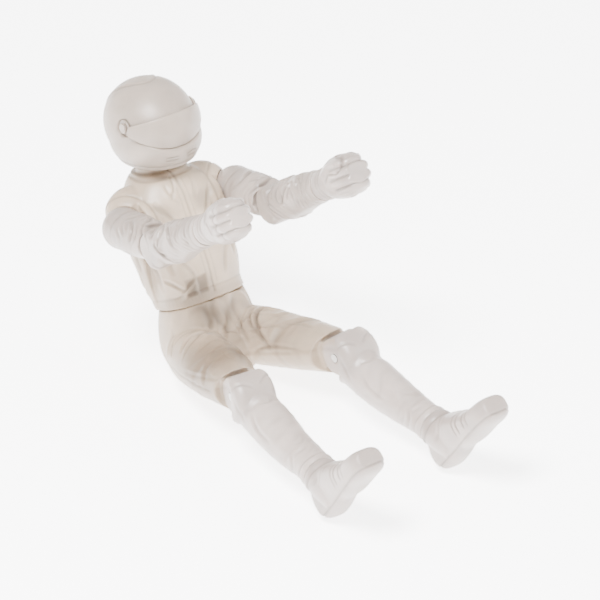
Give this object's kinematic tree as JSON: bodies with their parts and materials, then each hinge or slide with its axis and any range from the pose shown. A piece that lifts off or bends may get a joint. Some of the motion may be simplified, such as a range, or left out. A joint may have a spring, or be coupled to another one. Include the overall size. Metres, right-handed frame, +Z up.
{
  "type": "seated racing-driver figure with posable joints",
  "caption": "Seated racing-driver figure for a scale car: full-face helmet with a lifting visor, posable neck, waist, shoulders, elbows, wrists and knees.",
  "frame": {"origin": "mouth of the seat-screw hole, on the plane the seat rests on", "axes": "+X to the figure's left, -Y the way it faces, +Z up"},
  "size_m": [0.0506, 0.1454, 0.0813],
  "materials": {
    "cast_trousers": "satin",
    "cast_jacket": "satin",
    "cast_sleeve": "satin",
    "cast_trouser_leg": "satin",
    "cast_boot": "satin",
    "cast_glove": "satin",
    "cast_helmet": "semi-gloss",
    "clear_visor": "semi-gloss",
    "cast_head": "satin",
    "pin_steel": "satin",
    "peg_nylon": "satin"
  },
  "bodies": {
    "trousers": {"trousers": "cast_trousers", "left_knee_pin": "pin_steel", "right_knee_pin": "pin_steel"},
    "torso": {"torso": "cast_jacket", "waist_post": "peg_nylon"},
    "neck": {"neck_post": "peg_nylon"},
    "head": {"head": "cast_head", "helmet_shell": "cast_helmet", "visor_screws": "pin_steel", "neck_pin": "pin_steel"},
    "visor": {"visor": "clear_visor"},
    "left_shoulder_hub": {"left_shoulder_hub": "peg_nylon"},
    "left_upper_arm": {"left_upper_arm": "cast_sleeve", "left_shoulder_pin": "pin_steel"},
    "left_forearm": {"left_forearm": "cast_sleeve", "left_elbow_pin": "pin_steel"},
    "left_hand": {"left_hand": "cast_glove"},
    "left_shin": {"left_shin": "cast_trouser_leg", "left_boot": "cast_boot"},
    "right_shoulder_hub": {"right_shoulder_hub": "peg_nylon"},
    "right_upper_arm": {"right_upper_arm": "cast_sleeve", "right_shoulder_pin": "pin_steel"},
    "right_forearm": {"right_forearm": "cast_sleeve", "right_elbow_pin": "pin_steel"},
    "right_hand": {"right_hand": "cast_glove"},
    "right_shin": {"right_shin": "cast_trouser_leg", "right_boot": "cast_boot"}
  },
  "joints": [
    {"name": "waist_turn", "type": "hinge", "parent": "trousers", "child": "torso", "pos_m": [0, 0.0034, 0.0212], "axis": [0, 0.3746, 0.9272], "range_deg": [-30, 30]},
    {"name": "neck_turn", "type": "hinge", "parent": "torso", "child": "neck", "pos_m": [0, 0.0226, 0.0614], "axis": [0, 0.2079, 0.9781], "range_deg": [-70, 70]},
    {"name": "head_nod", "type": "hinge", "parent": "neck", "child": "head", "pos_m": [0, 0.0226, 0.0614], "axis": [1, 0, 0], "range_deg": [-10, 12]},
    {"name": "visor_lift", "type": "hinge", "parent": "head", "child": "visor", "pos_m": [0, 0.01832, 0.07201], "axis": [-1, 0, 0], "range_deg": [0, 50]},
    {"name": "left_shoulder_raise", "type": "hinge", "parent": "torso", "child": "left_shoulder_hub", "pos_m": [0.0186, 0.0106, 0.0466], "axis": [-1, 0, 0], "range_deg": [-25, 40]},
    {"name": "left_shoulder_spread", "type": "hinge", "parent": "left_shoulder_hub", "child": "left_upper_arm", "pos_m": [0.0186, 0.0106, 0.0466], "axis": [0, 0.1832, 0.9831], "range_deg": [0, 55]},
    {"name": "left_elbow_bend", "type": "hinge", "parent": "left_upper_arm", "child": "left_forearm", "pos_m": [0.019, -0.0114, 0.0507], "axis": [1, 0, 0], "range_deg": [-40, 25]},
    {"name": "left_wrist_turn", "type": "hinge", "parent": "left_forearm", "child": "left_hand", "pos_m": [0.019, -0.0349, 0.0659], "axis": [0, -0.8397, 0.5431], "range_deg": [-60, 60]},
    {"name": "left_knee_bend", "type": "hinge", "parent": "trousers", "child": "left_shin", "pos_m": [0.0166, -0.0428, 0.0178], "axis": [0.9913, 0.1315, 0], "range_deg": [-24, 40]},
    {"name": "right_shoulder_raise", "type": "hinge", "parent": "torso", "child": "right_shoulder_hub", "pos_m": [-0.0186, 0.0106, 0.0466], "axis": [-1, 0, 0], "range_deg": [-25, 40]},
    {"name": "right_shoulder_spread", "type": "hinge", "parent": "right_shoulder_hub", "child": "right_upper_arm", "pos_m": [-0.0186, 0.0106, 0.0466], "axis": [0, -0.1832, -0.9831], "range_deg": [0, 55]},
    {"name": "right_elbow_bend", "type": "hinge", "parent": "right_upper_arm", "child": "right_forearm", "pos_m": [-0.019, -0.0114, 0.0507], "axis": [1, 0, 0], "range_deg": [-40, 25]},
    {"name": "right_wrist_turn", "type": "hinge", "parent": "right_forearm", "child": "right_hand", "pos_m": [-0.019, -0.0349, 0.0659], "axis": [0, -0.8397, 0.5431], "range_deg": [-60, 60]},
    {"name": "right_knee_bend", "type": "hinge", "parent": "trousers", "child": "right_shin", "pos_m": [-0.0166, -0.0428, 0.0178], "axis": [0.9913, -0.1315, 0], "range_deg": [-24, 40]}
  ]
}
